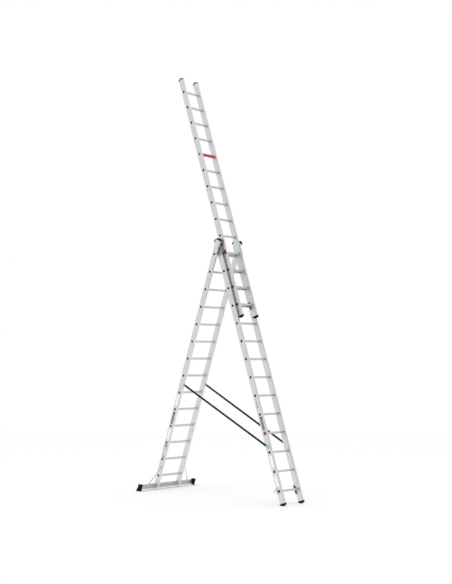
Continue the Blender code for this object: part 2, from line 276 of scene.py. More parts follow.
def add_loft(bm, sections, axis):
    """Closed solid through several (position, outline) pairs with equal point counts."""
    rings = [[bm.verts.new(at(axis, along, a, b)) for a, b in outline] for along, outline in sections]
    close_rings(bm, rings)


def add_prism(bm, outline, axis, start, end):
    add_loft(bm, ((start, outline), (end, outline)), axis)


def add_tube(bm, outer, inner, axis, start, end):
    """Open-ended tube between two outlines with equal point counts."""
    rings = []
    for outline, along in ((outer, start), (outer, end), (inner, end), (inner, start)):
        rings.append([bm.verts.new(at(axis, along, a, b)) for a, b in outline])
    for k in range(4):
        bridge(bm, rings[k], rings[(k + 1) % 4])


def circle(centre, radius, count=24):
    angles = [2 * math.pi * i / count for i in range(count)]
    return [(centre[0] + radius * math.cos(a), centre[1] + radius * math.sin(a)) for a in angles]


def rounded_rectangle(centre, size, radius, steps=5):
    points = []
    for quarter, (sx, sy) in enumerate(((1, 1), (-1, 1), (-1, -1), (1, -1))):
        cx = centre[0] + sx * (size[0] / 2 - radius)
        cy = centre[1] + sy * (size[1] / 2 - radius)
        for step in range(steps + 1):
            angle = math.pi / 2 * (quarter + step / steps)
            points.append((cx + radius * math.cos(angle), cy + radius * math.sin(angle)))
    return points


def add_button(bm, centre, axis, direction, radius, flange, dome, count=24):
    """Round head on a face: a short wall, a chamfer and a shallow dome."""
    steps = 4
    rings = [(0.0, radius), (flange, radius)]
    for step in range(1, steps + 1):
        angle = math.pi / 2 * step / steps
        rings.append((flange + dome * math.sin(angle), radius * (0.08 + 0.92 * math.cos(angle))))
    sections = [(centre[0] + direction * rise, circle(centre[1:], r, count)) for rise, r in rings]
    add_loft(bm, sections, axis)


def add_plug(bm, x, side, z):
    """Square plug with soft corners on a stile's outer face, its edges rounded over."""
    sections = []
    for rise, inset in PLUG_EDGE:
        size = PLUG_SIZE - 2 * inset
        outline = rounded_rectangle((0, z), (size, size), PLUG_CORNER - inset)
        sections.append((x + side * rise * PLUG_RISE, outline))
    add_loft(bm, sections, "X")


def add_plate(bm, axis, start, end, first, second, radius):
    """Flat plate with rounded corners: first and second are its ranges in the other two axes."""
    centre = ((first[0] + first[1]) / 2, (second[0] + second[1]) / 2)
    size = (first[1] - first[0], second[1] - second[0])
    add_prism(bm, rounded_rectangle(centre, size, radius), axis, start, end)


def add_flat_bar(bm, start, end, across, width, thickness, radius):
    """Flat bar from start to end, its width turned towards the across vector."""
    start, end = Vector(start), Vector(end)
    along = (end - start).normalized()
    flat = along.cross(Vector(across)).normalized()
    wide = flat.cross(along)
    turn = Matrix((wide, flat, along)).transposed().to_4x4()
    first = len(bm.verts)
    outline = rounded_rectangle((0, 0), (width, thickness), radius, steps=3)
    add_prism(bm, outline, "Z", 0, (end - start).length)
    bm.verts.ensure_lookup_table()
    bmesh.ops.transform(bm, matrix=Matrix.Translation(start) @ turn, verts=bm.verts[first:])


def add_washer_bolt(bm, centre, axis, direction, radius):
    """Washer with a hexagon head on it."""
    base = centre[0]
    face = base + direction * WASHER_THICKNESS
    crown = face + direction * BOLT_HEAD_HEIGHT
    add_prism(bm, circle(centre[1:], radius), axis, base, face)
    add_prism(bm, circle(centre[1:], radius * 0.66, 6), axis, face, crown)


def add_object(name, data):
    obj = bpy.data.objects.new(name, data)
    bpy.context.collection.objects.link(obj)
    return obj


def finished_mesh(name, bm):
    bmesh.ops.recalc_face_normals(bm, faces=bm.faces)
    mesh = bpy.data.meshes.new(name)
    bm.to_mesh(mesh)
    bm.free()
    return mesh


def shaded_object(name, bm, look, smooth):
    """Makes an object from a drawn mesh, smooth except at edges sharper than an angle."""
    mesh = finished_mesh(name, bm)
    mesh.shade_smooth()
    mesh.set_sharp_from_angle(angle=math.radians(smooth))
    mesh.materials.append(look)
    return add_object(name, mesh)


def piece(name, bm, section, look, replaces=(), bevel=0.0, smooth=35, body=None):
    """Makes an object from a mesh drawn in a section's axes, and lets it ride on its body."""
    obj = shaded_object(name, bm, look, smooth)
    obj.matrix_world = section.matrix
    if bevel:
        modifier = obj.modifiers.new("edges", "BEVEL")
        modifier.width = bevel
        modifier.segments = 3
        modifier.limit_method = "ANGLE"
        modifier.angle_limit = math.radians(smooth)
        modifier.harden_normals = True
    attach(obj, body or section.name)
    if replaces:
        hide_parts(*replaces)
    return obj


def cut(obj, bm, section):
    """Cuts a shape out of a piece for good."""
    cutter = add_object("cutter", finished_mesh("cutter", bm))
    cutter.matrix_world = section.matrix
    modifier = obj.modifiers.new("cut", "BOOLEAN")
    modifier.solver = "EXACT"
    modifier.object = cutter
    bpy.context.view_layer.update()
    graph = bpy.context.evaluated_depsgraph_get()
    obj.data = bpy.data.meshes.new_from_object(obj.evaluated_get(graph))
    obj.modifiers.clear()
    bpy.data.objects.remove(cutter, do_unlink=True)


def cut_away(bm, section, point, upward):
    """Cuts a mesh on a level plane through a point, and keeps what is below it, or above it."""
    normal = section.to_local.to_3x3() @ Vector((0, 0, upward))
    geometry = bm.verts[:] + bm.edges[:] + bm.faces[:]
    bmesh.ops.bisect_plane(bm, geom=geometry, plane_co=point, plane_no=normal, clear_outer=True)
    bmesh.ops.contextual_create(bm, geom=[edge for edge in bm.edges if edge.is_boundary])


def floor_point(section):
    return section.to_local @ Vector((0, 0, cad_low.z + FLOOR_GAP))


# --- Materials ---


def add_node(tree, kind, inputs, settings):
    """Adds a shader node, with each input linked to a socket or set to a constant."""
    node = tree.nodes.new(kind)
    for key, value in settings.items():
        setattr(node, key, value)
    for socket, value in dict(inputs).items():
        if isinstance(value, bpy.types.NodeSocket):
            tree.links.new(value, node.inputs[socket])
        else:
            node.inputs[socket].default_value = value
    return node


class Look:
    """A procedural material: a Principled BSDF and the nodes that drive it."""

    def __init__(self, name, metallic=0.0, roughness=0.5, **constants):
        self.material = bpy.data.materials.new(name)
        self.material.use_nodes = True
        self.tree = self.material.node_tree
        self.shader = self.tree.nodes["Principled BSDF"]
        self.shader.inputs["Metallic"].default_value = metallic
        self.shader.inputs["Roughness"].default_value = roughness
        for socket, value in constants.items():
            self.shader.inputs[socket.replace("_", " ")].default_value = value

    def add(self, kind, inputs=(), **settings):
        return add_node(self.tree, kind, inputs, settings)

    def coordinates(self, source="Object", scale=(1, 1, 1), rotation=(0, 0, 0)):
        out = self.add("ShaderNodeTexCoord").outputs[source]
        mapping = self.add("ShaderNodeMapping", {"Vector": out, "Scale": scale, "Rotation": rotation})
        return mapping.outputs["Vector"]

    def noise(self, vector, scale, detail=4.0, rough=0.55):
        inputs = {"Vector": vector, "Scale": scale, "Detail": detail, "Roughness": rough}
        return self.add("ShaderNodeTexNoise", inputs).outputs["Fac"]

    def remap(self, value, low, high, from_low=0.3, from_high=0.7):
        inputs = {"Value": value, "From Min": from_low, "From Max": from_high}
        inputs.update({"To Min": low, "To Max": high})
        return self.add("ShaderNodeMapRange", inputs).outputs["Result"]

    def mix(self, factor, one, two):
        return self.add("ShaderNodeMix", {0: factor, 6: one, 7: two}, data_type="RGBA").outputs[2]

    def math(self, operation, one, two=0.0):
        return self.add("ShaderNodeMath", {0: one, 1: two}, operation=operation).outputs[0]

    def drive(self, socket, value):
        self.tree.links.new(value, self.shader.inputs[socket])

    def finish(self, shade, rough, bumps):
        """Drives the shader with a colour, a roughness and (height, strength, distance) bumps."""
        inputs = {}
        for height, strength, distance in bumps:
            inputs.update({"Height": height, "Strength": strength, "Distance": distance})
            inputs["Normal"] = self.add("ShaderNodeBump", inputs).outputs["Normal"]
        self.drive("Base Color", shade)
        self.drive("Roughness", rough)
        self.drive("Normal", inputs["Normal"])
        return self.material


def colour(value):
    return (*value[:3], 1.0)


def scaled(value, factor):
    return colour([c * factor for c in value[:3]])


def extruded_aluminium(name, base, along, roughness, metallic=1.0, glow=0.0):
    """Mill-finish extrusion: die lines along one axis, cloudy oxide and a few fine scratches."""
    # Emission at glow strength, in the base colour, is painted light: it makes a part shine as if
    # brightly lit.
    look = Look(name, metallic, Emission_Color=colour(base), Emission_Strength=glow)
    stretch = [90.0, 90.0, 90.0]
    stretch["XYZ".index(along)] = 0.9
    lines = look.noise(look.coordinates(scale=stretch), 6.0, detail=6.0, rough=0.65)
    clouds = look.noise(look.coordinates(), 5.0, detail=5.0)
    handling = look.noise(look.coordinates(), 34.0, detail=6.0, rough=0.7)
    scratch_space = look.coordinates(scale=(30, 30, 9), rotation=(0.5, 0.3, 0.8))
    scratches = look.noise(scratch_space, 3.0, detail=2.0)
    thin = look.math("ABSOLUTE", look.math("SUBTRACT", scratches, 0.5))
    scratched = look.remap(thin, 1.0, 0.0, 0.0, 0.0035)

    shade = look.mix(look.remap(clouds, 0.0, 1.0), scaled(base, 0.955), scaled(base, 1.03))
    shade = look.mix(look.remap(lines, 0.0, 0.45), shade, scaled(base, 0.93))
    shade = look.mix(look.math("MULTIPLY", scratched, 0.25), shade, scaled(base, 0.80))
    rough = look.remap(lines, *roughness)
    rough = look.math("ADD", rough, look.remap(handling, -0.02, 0.05))
    rough = look.math("ADD", rough, look.math("MULTIPLY", scratched, 0.10))
    return look.finish(shade, rough, [(lines, 0.10, 0.0004), (handling, 0.04, 0.0003)])


def moulded_plastic(name, base, roughness, shine=0.5):
    """Moulded plastic with a fine eroded grain and rubbed, slightly paler high spots."""
    look = Look(name, Specular_IOR_Level=shine)
    space = look.coordinates()
    flow = look.noise(space, 14.0, detail=4.0)
    grains = look.noise(space, 900.0, detail=2.0)
    rubbed = look.noise(space, 60.0, detail=6.0, rough=0.7)
    shade = look.mix(look.remap(flow, 0.0, 1.0), scaled(base, 0.86), scaled(base, 1.16))
    pale = colour([0.8 * c + 0.02 for c in base[:3]])
    shade = look.mix(look.remap(rubbed, 0.0, 0.35, 0.58, 0.80), shade, pale)
    rough = look.remap(rubbed, *roughness)
    return look.finish(shade, rough, [(grains, 0.16, 0.0003), (flow, 0.06, 0.0006)])


def moulded_rubber(name, base):
    """Matt rubber with a pitted skin and a little pale dust."""
    look = Look(name, Specular_IOR_Level=0.15)
    space = look.coordinates()
    pits = look.noise(space, 650.0, detail=3.0, rough=0.7)
    dust = look.noise(space, 42.0, detail=7.0, rough=0.72)
    broad = look.noise(space, 9.0, detail=3.0)
    shade = look.mix(look.remap(broad, 0.0, 1.0), scaled(base, 0.8), scaled(base, 1.35))
    shade = look.mix(look.remap(dust, 0.0, 0.16, 0.52, 0.85), shade, (0.05, 0.049, 0.048, 1.0))
    return look.finish(shade, look.remap(dust, 0.52, 0.78), [(pits, 0.30, 0.0004)])


def plated_steel(name, base):
    """Dark passivated steel: a mottled plating with fine grinding lines."""
    look = Look(name, metallic=1.0)
    mottled = look.noise(look.coordinates(), 120.0, detail=6.0, rough=0.7)
    ground = look.noise(look.coordinates(scale=(14, 300, 14)), 8.0, detail=4.0)
    shade = look.mix(look.remap(mottled, 0.0, 1.0), scaled(base, 0.78), scaled(base, 1.25))
    rough = look.math("ADD", look.remap(mottled, 0.34, 0.52), look.remap(ground, -0.03, 0.05))
    return look.finish(shade, rough, [(ground, 0.08, 0.0003), (mottled, 0.10, 0.0003)])


def woven_webbing(name, base):
    """Flat webbing: a herringbone of ribs across the strap, drawn on its unrolled length."""
    look = Look(name, roughness=0.8, Sheen_Weight=0.12, Sheen_Roughness=0.5, Specular_IOR_Level=0.20)
    unrolled = look.add("ShaderNodeTexCoord").outputs["UV"]
    parts = look.add("ShaderNodeSeparateXYZ", {"Vector": unrolled})
    along, across = parts.outputs["X"], parts.outputs["Y"]
    folded = look.math("PINGPONG", across, 0.0042)
    slant = look.math("ADD", along, folded)
    rib = look.math("SINE", look.math("MULTIPLY", slant, 2 * math.pi / 0.0016))
    yarn = look.math("SINE", look.math("MULTIPLY", across, 2 * math.pi / 0.0009))
    weave = look.math("ADD", look.remap(rib, 0.0, 0.7, -1, 1), look.remap(yarn, 0.0, 0.3, -1, 1))
    fuzz = look.noise(look.coordinates("UV"), 900.0, detail=3.0)
    fading = look.noise(look.coordinates("UV", scale=(1, 4, 1)), 12.0, detail=4.0)
    shade = look.mix(weave, scaled(base, 0.55), scaled(base, 1.5))
    shade = look.mix(look.remap(fading, 0.0, 0.25), shade, (0.024, 0.023, 0.022, 1.0))
    return look.finish(shade, look.remap(fuzz, 0.72, 0.92), [(weave, 0.6, 0.0005), (fuzz, 0.25, 0.0002)])


def vinyl_label(name, base, tint=None, glow=0.0):
    """Blank printed vinyl: a satin film, faintly uneven in tone."""
    # Emission at glow strength, in the base colour, is painted light: it brightens a label as if lit.
    look = Look(name, Coat_Weight=0.25, Coat_Roughness=0.2, Emission_Strength=glow)
    look.shader.inputs["Emission Color"].default_value = colour(base)
    space = look.coordinates()
    clouds = look.noise(space, 28.0, detail=4.0)
    scuffs = look.noise(look.coordinates(scale=(1, 1, 5)), 90.0, detail=6.0, rough=0.7)
    shade = look.mix(look.remap(clouds, 0.0, 1.0), scaled(base, 0.94), colour(tint or base))
    shade = look.mix(look.remap(scuffs, 0.0, 0.30, 0.60, 0.85), shade, scaled(base, 0.80))
    return look.finish(shade, look.remap(scuffs, 0.30, 0.50), [(clouds, 0.03, 0.0004)])


def studio_floor(name):
    """Pale seamless floor that fades out far from the ladder, into the backdrop's white."""
    look = Look(name, roughness=0.9, Specular_IOR_Level=0.0)
    mottle = look.noise(look.coordinates(), 1.6, detail=3.0)
    look.drive("Base Color", look.mix(mottle, (0.90, 0.90, 0.90, 1), (0.915, 0.915, 0.915, 1)))
    glow = look.add("ShaderNodeEmission", {"Color": (1, 1, 1, 1), "Strength": FLOOR_GLOW})
    lit = look.add("ShaderNodeAddShader", {0: look.shader.outputs[0], 1: glow.outputs[0]})
    clear = look.add("ShaderNodeBsdfTransparent")
    radius = look.add("ShaderNodeVectorMath", {0: look.coordinates()}, operation="LENGTH")
    fade = look.remap(radius.outputs["Value"], 0.0, 1.0, FLOOR_FADE[0], FLOOR_FADE[1])
    mixed = look.add("ShaderNodeMixShader", {0: fade, 1: lit.outputs[0], 2: clear.outputs[0]})
    output = look.tree.nodes["Material Output"]
    look.tree.links.new(mixed.outputs[0], output.inputs["Surface"])
    return look.material


STILE_LOOK = extruded_aluminium("stile_aluminium", (0.76, 0.765, 0.775), "Z", (0.36, 0.48))
RUNG_LOOK = extruded_aluminium("rung_aluminium", (0.62, 0.625, 0.635), "X", (0.30, 0.44))
BAR_LOOK = extruded_aluminium("bar_aluminium", (0.56, 0.565, 0.575), "X", (0.44, 0.56))
BRACE_LOOK = extruded_aluminium("brace_aluminium", (0.56, 0.565, 0.57), "Z", (0.32, 0.45))
STEEL_LOOK = plated_steel("dark_steel", (0.40, 0.41, 0.42))
# Pale base colour and a glow: painted highlight, brightening the ledge's top and the guide stops as if
# lit from above.
LEDGE_HIGHLIGHT_LOOK = extruded_aluminium("ledge_aluminium", (0.90, 0.905, 0.91), "X", (0.50, 0.62), 0.2, 0.26)
HOOK_LOOK = plated_steel("hook_steel", (0.50, 0.51, 0.52))
RUBBER_LOOK = moulded_rubber("black_rubber", (0.004, 0.004, 0.0045))
PLUG_LOOK = moulded_plastic("black_plug_plastic", (0.003, 0.003, 0.004), (0.50, 0.65), shine=0.08)
GREY_LOOK = moulded_plastic("grey_plastic", (0.34, 0.345, 0.35), (0.40, 0.55))
DARK_LOOK = moulded_plastic("dark_grey_plastic", (0.050, 0.051, 0.053), (0.42, 0.56))
RED_LOOK = moulded_plastic("red_plastic", (0.24, 0.010, 0.018), (0.30, 0.45))
RED_HIGHLIGHT_LOOK = moulded_plastic("pale_red_plastic", (0.60, 0.40, 0.40), (0.34, 0.46))
RED_COVER_LOOK = moulded_plastic("red_cover_plastic", (0.62, 0.016, 0.030), (0.28, 0.40))
WEBBING_LOOK = woven_webbing("black_webbing", (0.010, 0.010, 0.011))
# The white labels glow a little: painted light that brightens them as if lit.
GLOWING_WHITE_LABEL = vinyl_label("white_vinyl_painted_glow", (0.90, 0.90, 0.91), glow=0.22)
GREY_LABEL = vinyl_label("grey_vinyl", (0.17, 0.17, 0.18), (0.30, 0.30, 0.31))
YELLOW_LABEL = vinyl_label("yellow_vinyl", (0.82, 0.80, 0.60))
BLUE_LABEL = vinyl_label("blue_vinyl", (0.60, 0.66, 0.76))
GREEN_LABEL = vinyl_label("green_vinyl", (0.06, 0.11, 0.07))
RED_LABEL = vinyl_label("red_vinyl", (0.34, 0.020, 0.028))
INK_LABEL = vinyl_label("ink_vinyl", (0.025, 0.025, 0.028))
BLUE_INK_LABEL = vinyl_label("blue_ink_vinyl", (0.06, 0.07, 0.11))
PALE_GREEN_LABEL = vinyl_label("pale_green_vinyl", (0.70, 0.78, 0.72))


# --- Stiles and rungs ---


def broad_face(x, inwards, rising, groove_depth):
    """Points along a stile's broad face: a drawn groove near each edge, plain steps between."""
    between = [0.5 * STILE_GROOVES[0], 0.0, 0.5 * STILE_GROOVES[1]]
    points = []
    for y in (STILE_GROOVES[0], *between, STILE_GROOVES[1]):
        if y in between:
            points.append((x, y))
            continue
        for share, depth in ((-0.5, 0), (-0.25, groove_depth), (0.25, groove_depth), (0.5, 0)):
            points.append((x + inwards * depth, y + share * STILE_GROOVE_WIDTH))
    return points if rising else points[::-1]


def stile_outline(centre, size, corner, groove_depth):
    """Rounded box with shallow drawn grooves down both broad faces."""
    rounded = rounded_rectangle(centre, size, corner)
    half = len(rounded) // 2
    left, right = centre[0] - size[0] / 2, centre[0] + size[0] / 2
    falling = broad_face(left, 1, False, groove_depth)
    rising = broad_face(right, -1, True, groove_depth)
    return rounded[:half] + falling + rounded[half:] + rising


def head_arch(section, y):
    """Height of a smooth arch over a stile's head, at a distance y from its middle."""
    return section.top + HEAD_RISE * (1 - min(1.0, abs(y) / section.half_depth) ** 2)


def make_stile(section, side_name, side):
    name = f"{section.name}_stile_{side_name}"
    size = (section.outer - section.inner, 2 * section.half_depth)
    centre = (side * (section.inner + section.outer) / 2, 0)
    inner_size = (size[0] - 2 * STILE_WALL, size[1] - 2 * STILE_WALL)
    outer = stile_outline(centre, size, STILE_CORNER, STILE_GROOVE_DEPTH)
    inner = stile_outline(centre, inner_size, STILE_CORNER - STILE_WALL, 0.0)
    middle_x = centre[0]
    bm = bmesh.new()
    add_tube(bm, outer, inner, "Z", section.bottom, section.top)
    for vert in bm.verts:
        if vert.co.z > 0:
            vert.co.z = head_arch(section, vert.co.y)
    extrusion = piece(f"{name}_extrusion", bm, section, STILE_LOOK, (name,), smooth=30)
    holes = bmesh.new()
    if section is lower:
        axis = lower.to_local @ fold_axis()
        radius = node_box("hinge_shaft", Matrix())[1].z - fold_axis().z + NOTCH_CLEARANCE
        add_prism(holes, circle((axis.y, axis.z), radius, 32), "X", 0, 2 * middle_x)
        low, high = lower.box("stabiliser_bar")
        back, front = -2 * lower.half_depth, BAR_FACE + NOTCH_CLEARANCE
        roof = high.z + NOTCH_CLEARANCE
        outline = [(back, low.z), (front, low.z), (front, roof), (back, roof)]
        add_prism(holes, outline, "X", 0, 2 * middle_x)
    else:
        radius = LATCH_ROD_RADIUS + NOTCH_CLEARANCE
        add_prism(holes, circle((LATCH_AXIS, 0), radius, 24), "X", 0, middle_x)
    cut(extrusion, holes, section)


def rung_outline(swell=0.0):
    """Squarish rung with a ribbed tread on its top and bottom faces."""
    half = RUNG_HALF + swell
    flat = half - RUNG_CORNER
    base = rounded_rectangle((0, 0), (2 * half, 2 * half), RUNG_CORNER, steps=4)
    quarter = len(base) // 4
    corners = [base[i * quarter:(i + 1) * quarter] for i in range(4)]

    def tread(height_sign, run):
        points = []
        for rib in range(RUNG_RIBS):
            for share, drop in ((0.2, 0.0), (0.35, 1.0), (0.65, 1.0), (0.8, 0.0)):
                y = run * (-flat + 2 * flat * (rib + share) / RUNG_RIBS)
                z = height_sign * (half - drop * RUNG_RIB_HEIGHT)
                points.append((y, z))
        return points

    return corners[0] + tread(1, -1) + corners[1] + corners[2] + tread(-1, 1) + corners[3]


def make_rung(section, number):
    node = f"{section.name}_rung_{number:02d}"
    end = section.inner + RUNG_LET_IN
    collar = section.inner - RUNG_COLLAR_LENGTH
    foot = collar - RUNG_COLLAR_SLOPE
    profile = [
        (-end, RUNG_COLLAR), (-collar, RUNG_COLLAR), (-foot, 0.0),
        (foot, 0.0), (collar, RUNG_COLLAR), (end, RUNG_COLLAR),
    ]
    z = section.rung_z(number)
    rings = [(x, [(y, z + dz) for y, dz in rung_outline(swell)]) for x, swell in profile]
    bm = bmesh.new()
    add_loft(bm, rings, "X")
    piece(f"{node}_tread", bm, section, RUNG_LOOK, (node,), smooth=28)


def make_plugs(section, side_name, side, skipped=()):
    """Black plugs that close the rung ends, on the outer face of a stile."""
    bm = bmesh.new()
    for number in range(1, RUNG_COUNT + 1):
        if number not in skipped:
            add_plug(bm, side * section.outer, side, section.rung_z(number))
    piece(f"{section.name}_rung_plugs_{side_name}", bm, section, PLUG_LOOK)


def arc_outline(half, rise, steps):
    """Circular arc of a given rise over a straight base, from end to end."""
    radius = (half * half + rise * rise) / (2 * rise)
    sweep = math.asin(min(1.0, half / radius))
    points = []
    for step in range(steps + 1):
        angle = -sweep + 2 * sweep * step / steps
        points.append((radius * math.sin(angle), rise - radius * (1 - math.cos(angle))))
    return points


def make_top_cap(section, side_name, side):
    """Crescent of plastic over the arched head of a stile, thickest near its back edge."""
    half = section.half_depth + CAP_LIP
    back_end, front_end = CAP_ENDS[section.name]
    over, under = [], []
    for step in range(CAP_STEPS + 1):
        share = step / CAP_STEPS
        y = half * (2 * share - 1)
        end = back_end + (front_end - back_end) * share
        crown = end + (CAP_RISE - end) * (1 - (y / half) ** 2)
        over.append((y, section.top + crown))
        skirt = CAP_SKIRT * (abs(y) > section.half_depth)
        under.append((y, head_arch(section, y) - skirt))
    bm = bmesh.new()
    inside, outside = side * (section.inner - CAP_LIP), side * (section.outer + CAP_LIP)
    add_prism(bm, over + under[::-1], "X", inside, outside)
    piece(f"{section.name}_head_cap_{side_name}", bm, section, RUBBER_LOOK, bevel=0.0018, smooth=25)


def make_sections():
    for section in SECTIONS:
        for side_name, side in SIDES:
            make_stile(section, side_name, side)
            make_top_cap(section, side_name, side)
        for number in range(1, RUNG_COUNT + 1):
            make_rung(section, number)
    for side_name, side in SIDES:
        make_plugs(lower, side_name, side)
        make_plugs(middle, side_name, side, skipped=MISSING_PLUGS[side_name])
        make_plugs(top, side_name, side, skipped=(RED_RUNG,))


make_sections()


# --- Feet, bar and braces ---


def above_floor(section, outline):
    """The part of a flat (y, z) outline that is above the floor, without very short edges."""
    point = floor_point(section)
    up = section.to_local.to_3x3() @ Vector((0, 0, 1))
    cropped = []
    for one, two in zip(outline, outline[1:] + outline[:1]):
        first, second = [(y - point.y) * up.y + (z - point.z) * up.z for y, z in (one, two)]
        if first >= 0:
            cropped.append(one)
        if (first < 0) != (second < 0):
            share = first / (first - second)
            cropped.append(tuple(a + share * (b - a) for a, b in zip(one, two)))
    return [q for i, q in enumerate(cropped) if math.dist(q, cropped[i - 1]) > SHORTEST_EDGE]


def make_sole(section, side, name, node=None):
    """Curved rubber shoe under a stile, with a grooved sole; with a node, it stands on the floor."""
    half = section.half_depth + FOOT_LIP
    toe = half + FOOT_TOE
    arc = arc_outline((half + toe) / 2, FOOT_RISE, FOOT_STEPS)
    sole = []
    for i, (y, z) in enumerate(arc):
        deep = FOOT_GROOVE if 3 < i < FOOT_STEPS - 3 and i % 4 in (1, 2) else 0.0
        sole.append((y + (toe - half) / 2, section.bottom - z + deep))
    outline = [(half, section.bottom + FOOT_SKIRT), (-half, section.bottom + FOOT_SKIRT)] + sole
    if node:
        outline = above_floor(section, outline)
    bm = bmesh.new()
    add_prism(bm, outline, "X", side * (section.inner - FOOT_LIP), side * (section.outer + FOOT_LIP))
    slot, replaces = ("foot_rubber", (node,)) if node else (None, ())
    piece(name, bm, section, RUBBER_LOOK, replaces, bevel=0.0012)


def make_bar():
    """Stabiliser bar: a rounded hollow box with a ledge and a rail along its foot, and screws near its
    ends.
    """
    low, high = lower.box("stabiliser_bar")
    centre = ((low.y + BAR_FACE) / 2, (low.z + high.z) / 2)
    size = (BAR_FACE - low.y, high.z - low.z)
    box_outline = rounded_rectangle(centre, size, BAR_CORNER)
    inner_size = (size[0] - 2 * BAR_WALL, size[1] - 2 * BAR_WALL)
    inner_outline = rounded_rectangle(centre, inner_size, BAR_CORNER / 2)
    bm = bmesh.new()
    add_tube(bm, box_outline, inner_outline, "X", low.x, high.x)
    piece("stabiliser_bar_box", bm, lower, BAR_LOOK, ("stabiliser_bar",), smooth=30)

    bm = bmesh.new()
    rail = high.y - LEDGE_RAIL
    shelf_y, shelf_z = (BAR_FACE + 0.0002, rail - 0.0002), (low.z, low.z + BAR_LEDGE)
    add_plate(bm, "X", low.x, high.x, shelf_y, shelf_z, 0.001)
    # The ledge gets the pale glowing colour: a painted highlight of its lit top.
    piece("stabiliser_bar_ledge", bm, lower, LEDGE_HIGHLIGHT_LOOK, smooth=30)
    bm = bmesh.new()
    add_plate(bm, "X", low.x, high.x, (rail, high.y), (low.z, low.z + LEDGE_LIP), 0.0012)
    piece("stabiliser_bar_rail", bm, lower, BAR_LOOK, smooth=30)

    for side_name, side in SIDES:
        bm = bmesh.new()
        for z in (high.z - 0.012, low.z + BAR_LEDGE + 0.010):
            add_washer_bolt(bm, (BAR_FACE, side * (high.x - SCREW_INSET), z), "Y", 1, SMALL_BOLT)
        piece(f"stabiliser_bar_screws_{side_name}", bm, lower, HOOK_LOOK, smooth=25)


def make_boot(side_name, side):
    """Rubber boot on the end of the stabiliser bar: level on top, with a waist and a broad foot."""
    node = f"stabiliser_cap_{side_name}"
    low, high = lower.box(node)
    inside, outside = sorted((abs(low.x), abs(high.x)))
    shoulder = lower.box("stabiliser_bar")[1].z + BOOT_RISE
    profile = [(inside, high.z + BOOT_RISE), (outside - BOOT_FLARE, high.z + BOOT_RISE)]
    profile += [(outside - inset, shoulder - drop) for inset, drop in BOOT_SIDE]
    profile += [(outside, low.z), (inside, low.z)]
    bm = bmesh.new()
    add_prism(bm, [(side * x, z) for x, z in profile], "Y", low.y, high.y)
    cut_away(bm, lower, Vector((0, low.y, shoulder)), 1)
    cut_away(bm, lower, floor_point(lower), -1)
    piece(f"{node}_boot", bm, lower, RUBBER_LOOK, (node,), bevel=0.0028, smooth=25)


def make_brace(side_name, side):
    """Thin flat stay from a lower stile to a lug on top of the stabiliser bar."""
    high = lower.box("stabiliser_bar")[1]
    start = Vector((side * (lower.outer + BRACE_START.x), BRACE_START.y, BRACE_START.z))
    end = Vector((side * BRACE_END.x, BRACE_END.y, high.z + BRACE_END.z))
    bm = bmesh.new()
    add_flat_bar(bm, start, end, (0, 1, 0), BRACE_WIDTH, BRACE_THICKNESS, 0.0008)
    lug_x, base = (end.x - BRACE_LUG, end.x + BRACE_LUG), (BAR_FACE - 0.018, end.y - 0.002)
    add_plate(bm, "Z", high.z + 0.0004, high.z + 0.0004 + LUG_THICKNESS, lug_x, base, 0.004)
    add_plate(bm, "Y", end.y - 0.0050, end.y - 0.0022, lug_x, (high.z + 0.0030, high.z + 0.044), 0.006)
    on_stile = ((start.y - BRACE_LUG, start.y + BRACE_LUG), (start.z - 0.014, start.z + 0.014))
    face = lower.outer + 0.0003
    add_plate(bm, "X", side * face, side * (face + LUG_THICKNESS), *on_stile, 0.006)
    piece(f"stabiliser_brace_{side_name}", bm, lower, BRACE_LOOK, smooth=25)
    bm = bmesh.new()
    add_washer_bolt(bm, (start.x + side * 0.0016, start.y, start.z), "X", side, SMALL_BOLT)
    add_washer_bolt(bm, (end.y - 0.0022, end.x, end.z), "Y", 1, SMALL_BOLT)
    piece(f"stabiliser_brace_bolts_{side_name}", bm, lower, BRACE_LOOK, smooth=25)


def make_standing_parts():
    make_bar()
    for side_name, side in SIDES:
        make_boot(side_name, side)
        make_brace(side_name, side)
        node = f"middle_foot_{side_name}"
        make_sole(middle, side, f"{node}_shoe", node)
        make_sole(top, side, f"top_end_cap_{side_name}")


make_standing_parts()


# --- Guides, hinge plates, latches and hooks ---


